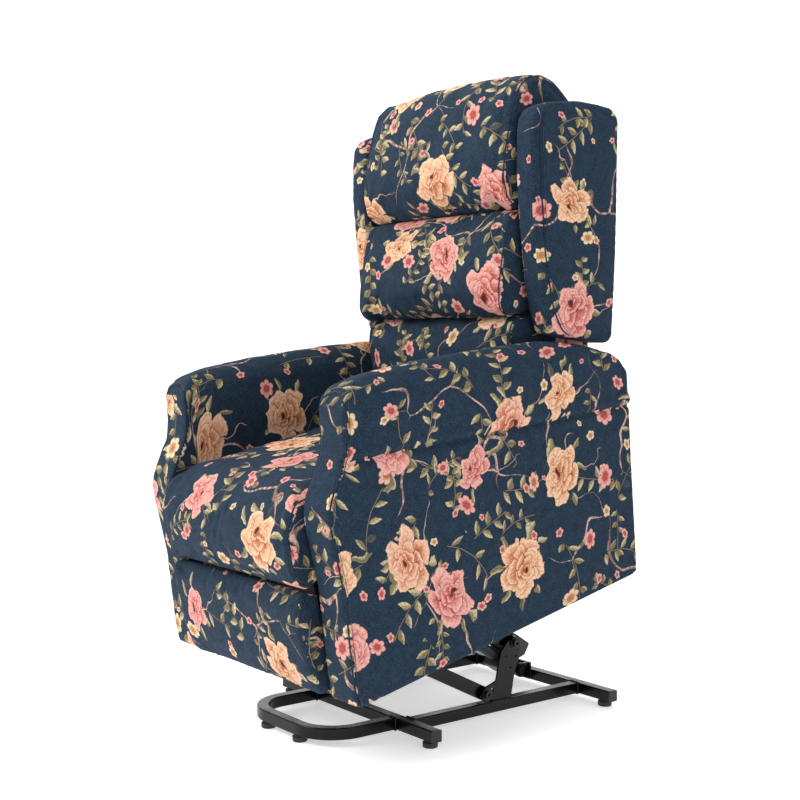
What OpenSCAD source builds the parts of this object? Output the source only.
// Power lift recliner chair, drawn at the top of its lift stroke: the body is raised and tilted forward.
// +Z up, the chair faces -Y, the sitter's left is +X, the feet stand on z = 0.
// Body pieces are drawn level, in (u back, v up) from the front lower corner of the arm panels,
// then tilted. Base points are (y, z).

/* [Body] */
// Clear width between the arms
seat_w = 524; // [516:2:530]
// Width of each arm
arm_w = 88; // [86:1:92]
// Forward tilt of the raised body, degrees
tilt = 13; // [12.5:0.1:13.5]
// Height of the front lower corner of the raised body above the floor
corner_z = 139; // [135:1:145]
// Thickness of the outer side panel
panel_t = 20; // [18:0.5:20]
// Height of the seat frame's underside above the body's lower edge
frame_v = 240; // [238:1:242]
// Gap left between neighbouring upholstered pieces
soft_gap = 1; // [0.6:0.1:1.5]

/* [Base] */
// Outer size of the square base tube
tube = 25; // [24:0.5:26]
// Wall of the base tube
wall = 2; // [1.5:0.25:3]
// Height of the glide feet
foot_h = 13.5; // [12:0.5:14]
// Radius of the glide feet
foot_r = 16; // [14:1:18]
// Half distance between the centre lines of the side rails
rail_x = 177; // [176:0.5:178]
// Length of the front crossbar with its caps
front_bar = 560; // [540:5:580]
// Length of the rear crossbar with its caps
rear_bar = 576; // [560:2:590]
// Bend radius of the front loop, on its centre line
loop_r = 85; // [70:5:95]

/* [Lift linkage] */
// Length of the lower lift arm between its pivots
lower_len = 330; // [325:1:335]
// Rise angle of the raised lower arm, degrees
lower_rise = 27; // [26.5:0.1:27.5]
// Width of the lower lift arm
lower_w = 30; // [26:1:30]
// Width of the upper lift arm
upper_w = 26; // [22:1:28]
// Radius of the pivot bolts
bolt_r = 6; // [5:0.5:6.5]
// Running clearance of the pivot bolts, on the radius
fit = 0.05; // [0.03:0.01:0.1]
// Extra radius of the upper arm's front hole, where the four-bar loop is opened
open_play = 1.5; // [1.4:0.1:2]
// Extra radius of the push rod's eye, where the drive loop is opened
eye_play = 4.9; // [4.8:0.1:5.5]

/* [Back and footrest] */
// Half width of the back cushions
cushion_half = 252; // [248:1:253]
// Thickness of the back frame
back_t = 60; // [50:1:60]
// Thickness of the footrest board
board_t = 14; // [10:1:15]
// Outer half width of the wings
wing_half = 324; // [318:1:326]
// Travel of the handset buttons
press = 1; // [0.8:0.1:1.2]

/* [Hidden] */
$fn = 48;

// colours shared by several nodes
fabric = "#263450";
cushion_fabric = "#2a3a5c";
wood = "#c9a77a";
base_black = "#17181a";
arm_black = "#1a1b1d";
lift_black = "#1c1d1f";
bolt_grey = "#26272a";
spacer_grey = "#2b2c2f";
pin_grey = "#3a3b3e";

centre_y = 31.018;                  // puts the origin under the middle of the whole chair
inner_x = seat_w / 2;               // inner faces of the arms
outer_x = inner_x + arm_w;          // outer faces of the arms
tube_top = foot_h + tube;           // top face of the base tubes
bore_r = bolt_r + fit;

// base points, (y, z)
body_corner = [-370, corner_z];     // front lower corner of the raised body
lower_pivot = [94, 57];             // lower arm on the base
upper_pivot = [177, 159];           // upper arm on the base
rear_pin = [345, 40];               // actuator on the base
lower_end = lower_pivot + lower_len * [-cos(lower_rise), sin(lower_rise)];
upper_end = [-167, 280];            // upper arm on the body

// body points, (u, v)
rod_pin = [250, 180];               // push rod's pin
recline_pivot = [780, 440];
foot_pivot = [61, 26];              // footrest linkage on the body
foot_joint = [104, 212];            // its middle pivot
board_pivot = [37, 33];             // its pivot on the footrest board

// x of the inner and outer faces of the flat linkage parts
lower_arm_x = [162, 177];
upper_arm_x = [164.5, 174.5];
bracket_x = [182, 187];
lift_plate_x = [148, 153];

// ---- frames and helpers ----
module base_at() { translate([0, centre_y, 0]) children(); }
module body_at() {
    translate([0, centre_y + body_corner[0], body_corner[1]]) rotate([tilt, 0, 0]) children();
}
// base point in body coordinates, and the reverse
function to_body(p) = let(d = p - body_corner)
    [d[0] * cos(tilt) + d[1] * sin(tilt), -d[0] * sin(tilt) + d[1] * cos(tilt)];
function to_base(p) = body_corner
    + [p[0] * cos(tilt) - p[1] * sin(tilt), p[0] * sin(tilt) + p[1] * cos(tilt)];

// extrudes a profile drawn in (y, z) or (u, v) along X, over a span [x0, x1]
module slab(span) {
    translate([span[0], 0, 0]) rotate([90, 0, 90]) linear_extrude(span[1] - span[0]) children();
}
module mid_slab(half) { slab([-half, half]) children(); }
module side(sign) { if (sign > 0) children(); else mirror([1, 0, 0]) children(); }
module both() { for (s = [-1, 1]) side(s) children(); }
module xrod(x0, x1, at, radius) {
    translate([x0, at[0], at[1]]) rotate([0, 90, 0]) cylinder(h = x1 - x0, r = radius);
}
module ring(x0, x1, at, outer, inner = bore_r) {
    difference() {
        xrod(x0, x1, at, outer);
        xrod(x0 - 1, x1 + 1, at, inner);
    }
}
module hex_socket(x, at, depth, radius) {
    translate([x, at[0], at[1]]) rotate([0, 90, 0]) cylinder(h = depth, r = radius, $fn = 6);
}
module disc(at, radius) { translate(at) circle(radius); }

function unit(vector) = vector / norm(vector);
function along(from, to, distance) = from + unit(to - from) * distance;
// arc points that round a polygon corner between its two neighbours
function fillet(before, corner, after, radius, steps) = let(
    to_before = unit(before - corner),
    to_after = unit(after - corner),
    angle = acos(max(-0.99999, min(0.99999, to_before * to_after))),
    cut = min(radius / tan(angle / 2), 0.46 * norm(before - corner), 0.46 * norm(after - corner)),
    arc_r = cut * tan(angle / 2),
    centre = corner + unit(to_before + to_after) * arc_r / sin(angle / 2),
    first = corner + to_before * cut - centre,
    last = corner + to_after * cut - centre,
    start = atan2(first[1], first[0]),
    sweep = (atan2(last[1], last[0]) - start + 540) % 360 - 180)
    [for (i = [0:steps]) let(a = start + sweep * i / steps) centre + arc_r * [cos(a), sin(a)]];
function smooth(points, radius, steps = 3) = let(count = len(points)) [for (i = [0:count - 1])
    each fillet(points[(i + count - 1) % count], points[i], points[(i + 1) % count], radius, steps)];

// bar with round ends between two pivots
module link(from, to, width) {
    run = to - from;
    translate(from) rotate(atan2(run[1], run[0])) polygon(concat(
        [for (i = [0:20]) width / 2 * [cos(90 + 9 * i), sin(90 + 9 * i)]],
        [for (i = [0:20]) [norm(run) + width / 2 * cos(9 * i - 90), width / 2 * sin(9 * i - 90)]]));
}
// pin across the middle, with a collar at each end
module collared_pin(half, at) {
    xrod(-half, half, at, bolt_r);
    both() ring(half - 2.5, half, at, 9, bolt_r - 0.5);
}

// ---- base ----
front_bar_y = -121.5;
rear_bar_y = 386;
bar_z = foot_h + tube / 2;
loop_x = 146;                       // half distance between the loop's sides
loop_y = -309.5;                    // front of the loop, on its centre line
cap_t = 3;                          // cap plate outside the tube
plug_len = 14;                      // cap plug inside the tube

// square with rounded corners, centred
module rounded_square(size, radius) {
    square([size, size - 2 * radius], center = true);
    square([size - 2 * radius, size], center = true);
    for (i = [-1, 1], j = [-1, 1])
        translate([i * (size / 2 - radius), j * (size / 2 - radius)]) circle(radius);
}
module tube_outline() { rounded_square(tube, 2.5); }
module tube_section() {
    difference() {
        tube_outline();
        square(tube - 2 * wall, center = true);
    }
}
module crossbar(y, length) {
    translate([0, y, bar_z]) mid_slab(length / 2 - cap_t) tube_section();
}
module y_tube(x, y0, y1) {
    translate([x, y0, bar_z]) rotate([-90, 0, 0]) linear_extrude(y1 - y0) tube_section();
}
module front_crossbar() color(base_black) base_at() crossbar(front_bar_y, front_bar);
module rear_crossbar() color(base_black) base_at() crossbar(rear_bar_y, rear_bar);
module side_rails() color(base_black) base_at()
    both() y_tube(rail_x, front_bar_y + tube / 2, rear_bar_y - tube / 2);
module front_loop() color(base_black) base_at() {
    bend_y = loop_y + loop_r;
    bend_x = loop_x - loop_r;
    both() {
        y_tube(loop_x, bend_y, front_bar_y - tube / 2);
        translate([bend_x, bend_y, bar_z]) rotate([0, 0, -90])
            rotate_extrude(angle = 90) translate([loop_r, 0]) tube_section();
    }
    translate([0, loop_y, bar_z]) mid_slab(bend_x) tube_section();
}
// foot centres, (x, y)
feet = [[258, front_bar_y], [262, rear_bar_y], [min(68, loop_x - loop_r), loop_y]];
module glide_feet() color("#101011") base_at() both() for (f = feet) translate([f[0], f[1], 0]) {
    cylinder(h = 2, r1 = foot_r - 1.5, r2 = foot_r);
    translate([0, 0, 2]) cylinder(h = foot_h - 5, r = foot_r);
    translate([0, 0, foot_h - 3]) cylinder(h = 3, r = foot_r - 4);
}
module end_cap(y, length) translate([0, y, bar_z]) {
    plug_end = length / 2 - cap_t;
    slab([plug_end, length / 2]) tube_outline();
    slab([plug_end - plug_len, plug_end]) difference() {
        square(tube - 2 * wall - 0.4, center = true);
        square(tube - 2 * wall - 6, center = true);
    }
}
module tube_end_caps() color("#0e0e0f") base_at() both() {
    end_cap(front_bar_y, front_bar);
    end_cap(rear_bar_y, rear_bar);
}

// bracket plate, (y, z): stands on the tubes and carries both base pivots of one side
bracket_edge = [[111, tube_top], [167, tube_top], [168, 48], [177, 96], [190, 122], [191.5, 140],
    [191.5, 160], [164, 167], [156, 164], [138, 145], [133, 129], [123, 82], [93, 72.5],
    [86, 44], [108, 44]];
bracket_holes = [[151, 134], [180, 130], [164, 107], [112, 66]];
module bracket() {
    slab(bracket_x) difference() {
        union() {
            polygon(bracket_edge);
            disc(lower_pivot, 15.5);
            disc(upper_pivot, 14.8);
        }
        disc(lower_pivot, bore_r);
        disc(upper_pivot, bore_r);
        for (p = bracket_holes) disc(p, 3.2);
    }
}
module bracket_left() color("#1b1c1e") base_at() side(1) bracket();
module bracket_right() color("#1b1c1e") base_at() side(-1) bracket();

shank_x = 157;                      // inner end of the base bolts' spacers
// shank with a flange washer and a socket head on its outer end
module bolt(at, x0, x1) {
    difference() {
        union() {
            xrod(x0, x1, at, bolt_r);
            xrod(x1, x1 + 2.5, at, 13.5);
            xrod(x1 + 2.5, x1 + 8.5, at, 8.8);
        }
        hex_socket(x1 + 4.5, at, 5, 3.8);
    }
}
module base_pivot_bolts() color(bolt_grey) base_at() both() for (p = [lower_pivot, upper_pivot]) {
    bolt(p, shank_x, bracket_x[1]);
    difference() { // centre-drilled inner end
        xrod(shank_x - 2, shank_x, p, bolt_r);
        xrod(shank_x - 3, shank_x - 1, p, 2);
    }
}
module base_spacers() color(spacer_grey) base_at() both()
    for (arm = [[lower_pivot, lower_arm_x], [upper_pivot, upper_arm_x]]) {
        ring(arm[1][1], bracket_x[0], arm[0], 11);
        ring(shank_x, arm[1][0], arm[0], 9.5);
    }

// rear clevis: a foot plate on the rear crossbar and two ears
clevis_y = [367.5, rear_bar_y - tube / 2]; // front and rear faces of the foot plate
clevis_top = 56;
module actuator_clevis() color("#141516") base_at() difference() {
    union() {
        mid_slab(32) polygon([[clevis_y[0], 16], [clevis_y[1], 16],
            [clevis_y[1], clevis_top], [clevis_y[0], clevis_top]]);
        both() slab([22, 28]) union() {
            polygon([[345, 23], [clevis_y[0], 20], [clevis_y[0], clevis_top], [352, 55.5]]);
            disc(rear_pin, 17);
        }
    }
    both() slab([21, 29]) disc(rear_pin, bore_r);
    both() translate([15, 366, 50]) rotate([-90, 0, 0]) cylinder(h = 9, r = 3);
}
module clevis_pin() color(pin_grey) base_at() collared_pin(31, rear_pin);

// ---- lift arms ----
round_tube_r = 12;
// round tube across the chair
module cross_tube(half, at) { ring(-half, half, at, round_tube_r, 10); }
// hollow between its side plates, solid near both pivots
module lower_arm() {
    skin = 2.5;
    solid_end = 26;
    difference() {
        slab(lower_arm_x) link(lower_pivot, lower_end, lower_w);
        slab(lower_arm_x + [skin, -skin]) link(along(lower_pivot, lower_end, solid_end),
            along(lower_pivot, lower_end, lower_len - solid_end), lower_w - 8);
        slab(lower_arm_x + [-1, 1]) {
            disc(lower_pivot, bore_r);
            disc(lower_end, bore_r);
        }
    }
}
module lower_arm_left() color(arm_black) base_at() side(1) lower_arm();
module lower_arm_right() color(arm_black) base_at() side(-1) lower_arm();
module lower_arm_tube() color(arm_black) base_at()
    cross_tube(lower_arm_x[0], along(lower_pivot, lower_end, 110));
module upper_arm() {
    slab(upper_arm_x) difference() {
        link(upper_pivot, upper_end, upper_w);
        disc(upper_pivot, bore_r);
        disc(upper_end, bolt_r + open_play);
    }
}
module upper_arm_left() color(arm_black) base_at() side(1) upper_arm();
module upper_arm_right() color(arm_black) base_at() side(-1) upper_arm();

// ---- lift frame, fixed to the body ----
lower_end_uv = to_body(lower_end);
upper_end_uv = to_body(upper_end);
rod_tube = [rod_pin[0], 217];       // cross tube that carries the front clevis
lift_tubes = [[90, 56], [640, 152], rod_tube];
// plate outline, (u, v): a long rail with two uprights to the seat frame
lift_edge = [[60, 38], [690, 38], [700, 50], [700, 72], [676, 76], [668, frame_v],
    [612, frame_v], [600, 76], [290, 76], [272, frame_v], [200, frame_v], [190, 76], [60, 76]];
module lift_plate() {
    lobe_r = 17; // lobe around the lower arm's pivot
    slab(lift_plate_x) difference() {
        union() {
            polygon(lift_edge);
            disc(lower_end_uv, lobe_r);
            polygon([lower_end_uv - [lobe_r, 0], lower_end_uv + [lobe_r, 0],
                [lower_end_uv[0] + lobe_r, 40], [lower_end_uv[0] - lobe_r, 40]]);
        }
        disc(lower_end_uv, bore_r);
        disc(upper_end_uv, bore_r);
        for (p = lift_tubes) disc(p, round_tube_r);
    }
}
module lift_plate_left() color(lift_black) body_at() side(1) lift_plate();
module lift_plate_right() color(lift_black) body_at() side(-1) lift_plate();
module lift_cross_tubes() color(lift_black) body_at()
    for (p = lift_tubes) cross_tube(lift_plate_x[1], p);
module front_bolt(at, head_x, head_r) {
    difference() {
        union() {
            xrod(145, head_x, at, bolt_r);
            xrod(head_x, head_x + 3.5, at, head_r);
        }
        hex_socket(head_x + 1, at, 4, 3.4);
    }
}
module front_pivot_bolts() color(bolt_grey) body_at() both() {
    front_bolt(lower_end_uv, lower_arm_x[1] + 0.5, 10);
    front_bolt(upper_end_uv, upper_arm_x[1] + 1, 11);
}
module front_spacers() color(spacer_grey) body_at() both() {
    ring(lift_plate_x[1], lower_arm_x[0] - 0.3, lower_end_uv, 11);
    ring(lift_plate_x[1], upper_arm_x[0] - 0.3, upper_end_uv, 12);
}
module front_clevis() color(lift_black) body_at() both() slab([21, 26]) difference() {
    union() {
        disc(rod_pin, 15);
        translate(rod_pin - [14, 0]) square([28, 30]);
    }
    disc(rod_tube, round_tube_r + 0.05);
    disc(rod_pin, bore_r);
}
module front_clevis_pin() color(pin_grey) body_at() collared_pin(29, rod_pin);

// ---- actuator, drawn from its rear pin towards the push rod's pin ----
// s runs along the actuator, t above it
act_run = to_base(rod_pin) - rear_pin;
act_len = norm(act_run);
act_angle = atan2(act_run[1], act_run[0]);
gearbox_end = 72;
case_start = gearbox_end + 0.2;     // rear end of the motor and the outer tube
gearbox_edge = [[24, -26], [gearbox_end, -26], [gearbox_end, 66], [10, 66], [10, 36], [24, 20]];
module act_at() {
    base_at() translate([0, rear_pin[0], rear_pin[1]])
        rotate([act_angle - 180, 0, 0]) mirror([0, 1, 0]) children();
}
module act_rod(s0, s1, t, radius) {
    translate([0, s0, t]) rotate([-90, 0, 0]) cylinder(h = s1 - s0, r = radius);
}
module actuator_gearbox() color("#1d1e20") act_at() difference() {
    union() {
        mid_slab(20) union() {
            disc([0, 0], 15);
            translate([0, -15]) square([24, 30]);
        }
        mid_slab(27) polygon(smooth(gearbox_edge, 5));
    }
    mid_slab(21) disc([0, 0], bore_r);
    act_rod(60, gearbox_end + 1, 0, 10);
}
module actuator_motor() color("#131415") act_at() {
    act_rod(case_start, 196, 39, 24);
    act_rod(196, 200, 39, 19);
}
module actuator_tube() color("#101112") act_at() difference() {
    union() {
        act_rod(case_start, 360, 0, 13);
        act_rod(360, 372, 0, 15);
    }
    act_rod(70, 400, 0, 9);
}
module push_rod() color("#9a9c9f") act_at() difference() {
    union() {
        act_rod(136, act_len - 8, 0, 8.5);
        mid_slab(18) disc([act_len, 0], 17);
    }
    mid_slab(19) disc([act_len, 0], bolt_r + eye_play);
}

// ---- seat ----
seat_rail_h = 22;
module seat_frame() color(wood) body_at() difference() {
    translate([-inner_x + 7, 45, frame_v]) cube([seat_w - 14, 595, seat_rail_h]);
    translate([-inner_x + 47, 100, frame_v - 1]) cube([seat_w - 94, 490, seat_rail_h + 2]);
}

wire = 3.5;                         // width and height of the spring wire
bend_pitch = 22;
bend_count = 22;                    // even, so the last bend is on the -X side
bend_x = 15;                        // bend centres, either side of the middle
spring_tail = 24;
// flat sinuous spring: half-ring bends on alternate sides, joined by straight bars
module spring_outline() {
    for (i = [0:bend_count - 1]) translate([0, bend_pitch * (i + 0.5)]) {
        right = i % 2 == 0;
        centre = [right ? bend_x : -bend_x, 0];
        difference() {
            disc(centre, (bend_pitch + wire) / 2);
            disc(centre, (bend_pitch - wire) / 2);
            translate([right ? -35 : -bend_x, -bend_pitch]) square([50, 2 * bend_pitch]);
        }
    }
    for (i = [0:bend_count]) {
        start = i == 0 ? 0 : -bend_x;
        end = i == bend_count ? 0 : bend_x;
        translate([start, bend_pitch * i - wire / 2]) square([end - start, wire]);
    }
    for (y = [-spring_tail, bend_pitch * bend_count])
        translate([-wire / 2, y]) square([wire, spring_tail]);
}
module seat_springs() color("#8b8f94") body_at() for (x = [-160:80:160])
    translate([x, 98, frame_v + seat_rail_h]) linear_extrude(wire) spring_outline();

// cushion outline, (u, v), from its rear lower corner over the top to the front lip
seat_edge = [[614, 250], [612, 402], [330, 404], [70, 406], [8, 396], [-20, 350], [-22, 292],
    [-20, 244], [-9, 230], [2, 222], [10, 221], [22, 228]];
module seat_cushion() color("#253352") body_at() {
    underside = frame_v + 27; // clears the springs
    difference() {
        mid_slab(inner_x - 4) polygon(smooth(seat_edge, 30, 4));
        mid_slab(inner_x) polygon([[42, 200], [42, underside], [640, underside], [640, 200]]);
    }
}
// box under the seat, with three round sockets on its inner side
module control_box() color("#2a2b2d") body_at() {
    translate([-236, 420, frame_v - 52]) cube([52, 110, 51]);
    for (u = [440, 475, 510])
        translate([-183.5, u, frame_v - 26]) rotate([0, 90, 0])
            translate([0, 0, -0.5]) cylinder(h = 8, r = 6);
}

// ---- arms; outlines are (u, v) ----
inner_panel_t = 18;
// facing: up its front edge, then back down its rear edge
facing_edge = [[0, 0], [3, 60], [19, 217], [17, 350], [23, 384], [38, 410], [66, 450], [78, 459],
    [100, 454], [90, 444], [63, 404], [50, 381], [45, 350], [47, 217], [31, 60], [28, 0]];
// pad: over the top from front to rear, then the seam on its underside from rear to front
pad_top = [[82, 463], [91, 508], [98, 552], [106, 576], [126, 590], [175, 596], [240, 594],
    [320, 589], [410, 581], [510, 570], [600, 558], [661, 547], [747, 525], [810, 496],
    [835, 474], [851, 446]];
pad_seam = [[841, 372], [569, 402], [327, 430], [112, 458]];
// panels: up the front, along below the seam, down the rear
panel_drop = soft_gap + 2.5;
panel_edge = concat(
    [[29, 0], [32, 60], [48, 217], [46, 350], [51, 380], [64, 404], [92, 446]],
    [[104, 458 - panel_drop]],
    [for (i = [3:-1:0]) pad_seam[i] - [0, panel_drop]],
    [[819, 227], [787, 0]]);
frame_edge = [[33, 4], [36, 60], [51, 217], [50, 350], [56, 380], [70, 402], [98, 446],
    [320, 422], [569, 393], [832, 364], [813, 227], [782, 4]];
frame_window = [[84, 60], [90, 217], [92, 340], [130, 398], [320, 378], [569, 350],
    [782, 322], [770, 227], [745, 60]];

// handset pocket in the right arm: a slot through the outer panel, half closed by a thin lip
handset_u = 336;                    // centre line of handset and pocket
pocket_w = 72;
pocket_h = 196;
pocket_v = 196;                     // lower end of the pocket
lip_t = 2;
module pocket_block(x, thick, height) {
    translate([x, handset_u - pocket_w / 2, pocket_v]) cube([thick, pocket_w, height]);
}
module outer_panel() { slab([outer_x - panel_t, outer_x]) polygon(panel_edge); }
module side_panel_left() color(fabric) body_at() side(1) outer_panel();
module side_panel_right() color(fabric) body_at() side(-1) {
    difference() {
        outer_panel();
        pocket_block(outer_x - panel_t - 1, panel_t + 2, pocket_h);
    }
    pocket_block(outer_x - lip_t, lip_t, 92);
}
module inner_panel() { slab([inner_x, inner_x + inner_panel_t]) polygon(panel_edge); }
module inner_panel_left() color(fabric) body_at() side(1) inner_panel();
module inner_panel_right() color(fabric) body_at() side(-1) inner_panel();
module arm_frame() {
    slab([inner_x + inner_panel_t + 1, outer_x - panel_t - 1]) difference() {
        polygon(frame_edge);
        polygon(frame_window);
    }
}
module arm_frame_left() color(wood) body_at() side(1) arm_frame();
module arm_frame_right() color(wood) body_at() side(-1) arm_frame();
module arm_pad() { slab([inner_x, outer_x]) polygon(smooth(concat(pad_top, pad_seam), 14, 2)); }
module arm_pad_left() color(fabric) body_at() side(1) arm_pad();
module arm_pad_right() color(fabric) body_at() side(-1) arm_pad();
module arm_facing() { slab([inner_x, outer_x]) polygon(facing_edge); }
module arm_facing_left() color(fabric) body_at() side(1) arm_facing();
module arm_facing_right() color(fabric) body_at() side(-1) arm_facing();
module rear_valance() color(fabric) body_at()
    mid_slab(inner_x - 1) polygon([[789, 14], [799, 14], [831, 318], [819, 318]]);

// ---- back: leans 14.7 degrees ----
back_top = 1000;
back_panel_t = 11;
back_frame_in = back_panel_t + 1;   // rear of the frame, in front of the back's rear face
cushion_in = back_frame_in + back_t + 2; // rear of the cushions, likewise
stile_x = inner_x - 62;             // inner edges of the back frame's uprights
// u of the back's rear face at height v
function back_u(v) = 847 + 0.263 * (v - 519);
// point at height v, a depth in front of the rear face
function back_point(depth, v) = [back_u(v) - depth, v];
function cushion_rear(v) = back_point(cushion_in, v);
// leaning strip between two depths and two heights
module back_strip(deep, shallow, v0, v1) {
    polygon([back_point(deep, v0), back_point(shallow, v0),
        back_point(shallow, v1), back_point(deep, v1)]);
}
hinge_edge = [[560, frame_v], [640, frame_v], [660, 262], [798, 430], [764, 452], [650, 300],
    [618, 262], [560, 262]];
module recline_hinge_plates() color(lift_black) body_at() both()
    slab([inner_x - 7, inner_x - 2]) difference() {
        union() {
            disc(recline_pivot, 20);
            polygon(hinge_edge);
        }
        disc(recline_pivot, bore_r);
    }
module recline_pins() color(pin_grey) body_at()
    both() xrod(inner_x - 42, inner_x - 2, recline_pivot, bolt_r);
module back_frame() color(wood) body_at() difference() {
    mid_slab(inner_x - 12)
        back_strip(back_frame_in + back_t, back_frame_in, 345, back_top);
    for (window = [[400, 640], [690, 940]])
        mid_slab(stile_x)
            back_strip(back_frame_in + back_t + 1, back_frame_in - 1, window[0], window[1]);
    both() slab([inner_x - 50, inner_x]) disc(recline_pivot, bore_r);
    // square notches at the inner ends of the pin holes
    both() slab([stile_x, inner_x - 44]) translate(recline_pivot) square(20, center = true);
}
module back_panel() color(fabric) body_at()
    mid_slab(inner_x - 10) back_strip(back_panel_t, 0, 338, back_top);

// wing outline, (u, v): up the front, over the top, down the rear
wing_edge = [[668, 568], [661, 620], [660, 681], [672, 800], [687, 907], [706, 988], [718, 1020],
    [738, 1037], [772, 1042], [812, 1039], [856, 1033], [915, 1018], [950, 1006], [969, 982],
    [900, 703], [847, 521], [831, 510], [760, 534]];
// wing with two dowels to the back frame
module wing() {
    slab([inner_x + 3, wing_half]) polygon(smooth(wing_edge, 12, 2));
    for (v = [640, 880]) xrod(inner_x - 12, inner_x + 3, back_point(40, v), 9);
}
module wing_left() color(fabric) body_at() side(1) wing();
module wing_right() color(fabric) body_at() side(-1) wing();

// fronts of the back cushions, (u, v), from bottom to top
lumbar_front = [[618, 410], [598, 440], [602, 520], [608, 572], [624, 611]];
middle_front = [[626, 614], [600, 622], [594, 648], [604, 682], [624, 728], [648, 786], [674, 831]];
// the head cushion's runs on over the top and down its rear
head_front = [[694, 834], [670, 858], [668, 900], [682, 950], [704, 1000], [728, 1052],
    [756, 1092], [792, 1112], [830, 1110], [864, 1092], [888, 1062], [908, 1032], [936, 1020],
    [964, 1014], [978, 998]];
module lumbar_cushion() color(cushion_fabric) body_at() mid_slab(cushion_half)
    polygon(smooth(concat([cushion_rear(412)], lumbar_front, [cushion_rear(611)]), 22, 3));
module middle_cushion() color(cushion_fabric) body_at() mid_slab(cushion_half)
    polygon(smooth(concat([cushion_rear(614)], middle_front, [cushion_rear(831)]), 22, 3));
module head_cushion() color(cushion_fabric) body_at() difference() {
    mid_slab(cushion_half) polygon(smooth(concat([cushion_rear(834)], head_front), 24, 3));
    mid_slab(inner_x) // room for the back frame
        polygon([cushion_rear(800), cushion_rear(1002), [1010, 1002], [1010, 800]]);
}

// ---- footrest ----
hanger_x = inner_x - 62;            // hanger plane; the links run outboard of it
foot_pin_r = 4;
foot_bore_r = foot_pin_r + fit;
board_u = 22;                       // rear face of the board
hanger_half = 14;
module footrest_hangers() color(lift_black) body_at() both() {
    slab([hanger_x, hanger_x + 5]) difference() {
        union() {
            disc(foot_pivot, hanger_half);
            polygon([foot_pivot - [hanger_half, 0], foot_pivot + [hanger_half, 0],
                [96, frame_v], [50, frame_v]]);
        }
        disc(foot_pivot, foot_bore_r);
    }
    xrod(hanger_x - 4, hanger_x + 13, foot_pivot, foot_pin_r);
}
module footrest_links_rear() color("#222325") body_at() both() {
    slab([hanger_x + 6, hanger_x + 11]) difference() {
        link(foot_pivot, foot_joint, 18);
        disc(foot_pivot, foot_bore_r);
    }
    xrod(hanger_x + 11, hanger_x + 20, foot_joint, foot_pin_r);
}
module footrest_links_front() color("#222325") body_at() both()
    slab([hanger_x + 12, hanger_x + 17]) difference() {
        link(foot_joint, board_pivot, 18);
        disc(foot_joint, foot_bore_r);
        disc(board_pivot, foot_bore_r);
    }
module footrest_board() color(wood) body_at() {
    translate([-inner_x + 12, board_u - board_t, 8]) cube([seat_w - 24, board_t, 196]);
    both() {
        slab([hanger_x + 19, hanger_x + 23]) difference() {
            union() {
                disc(board_pivot, 9);
                translate([board_u - 1, board_pivot[1] - 14]) square([16, 28]);
            }
            disc(board_pivot, foot_pin_r - 0.1);
        }
        xrod(hanger_x + 10, hanger_x + 23, board_pivot, foot_pin_r);
    }
}
module footrest_pad() color(fabric) body_at() {
    pad_u = board_u - board_t - 1;
    mid_slab(inner_x - 10) polygon(smooth([[pad_u, 6], [pad_u, 208], [-10, 210], [-24, 190],
        [-22, 60], [-8, 6]], 10, 3));
}

// ---- handset, in the pocket of the right arm's outer panel ----
button_r = 9;
button_floor = outer_x - 8;         // bottom of the button recesses
up_v = 354;
down_v = 330;
module button_rod(x, v, length, radius) {
    translate([x, handset_u, v]) rotate([0, 90, 0]) cylinder(h = length, r = radius);
}
module handset() color("#3b3d40") body_at() side(-1) difference() {
    translate([outer_x - 18.5, handset_u - 25, 204]) cube([16, 50, 170]);
    for (v = [down_v, up_v]) button_rod(button_floor, v, 9, button_r + 0.4);
}
module button(v) { button_rod(button_floor + press + 0.6, v, 6, button_r); }
module button_up() color("#d9dadb") body_at() side(-1) button(up_v);
module button_down() color("#8f9194") body_at() side(-1) button(down_v);

front_crossbar();
rear_crossbar();
side_rails();
front_loop();
glide_feet();
tube_end_caps();
bracket_left();
bracket_right();
base_pivot_bolts();
base_spacers();
actuator_clevis();
clevis_pin();
lower_arm_left();
lower_arm_right();
lower_arm_tube();
upper_arm_left();
upper_arm_right();
lift_plate_left();
lift_plate_right();
lift_cross_tubes();
front_pivot_bolts();
front_spacers();
front_clevis();
front_clevis_pin();
actuator_gearbox();
actuator_motor();
actuator_tube();
push_rod();
seat_frame();
seat_springs();
seat_cushion();
control_box();
arm_frame_left();
arm_frame_right();
side_panel_left();
side_panel_right();
inner_panel_left();
inner_panel_right();
arm_pad_left();
arm_pad_right();
arm_facing_left();
arm_facing_right();
rear_valance();
recline_hinge_plates();
recline_pins();
back_frame();
back_panel();
wing_left();
wing_right();
lumbar_cushion();
middle_cushion();
head_cushion();
footrest_hangers();
footrest_links_rear();
footrest_links_front();
footrest_board();
footrest_pad();
handset();
button_up();
button_down();
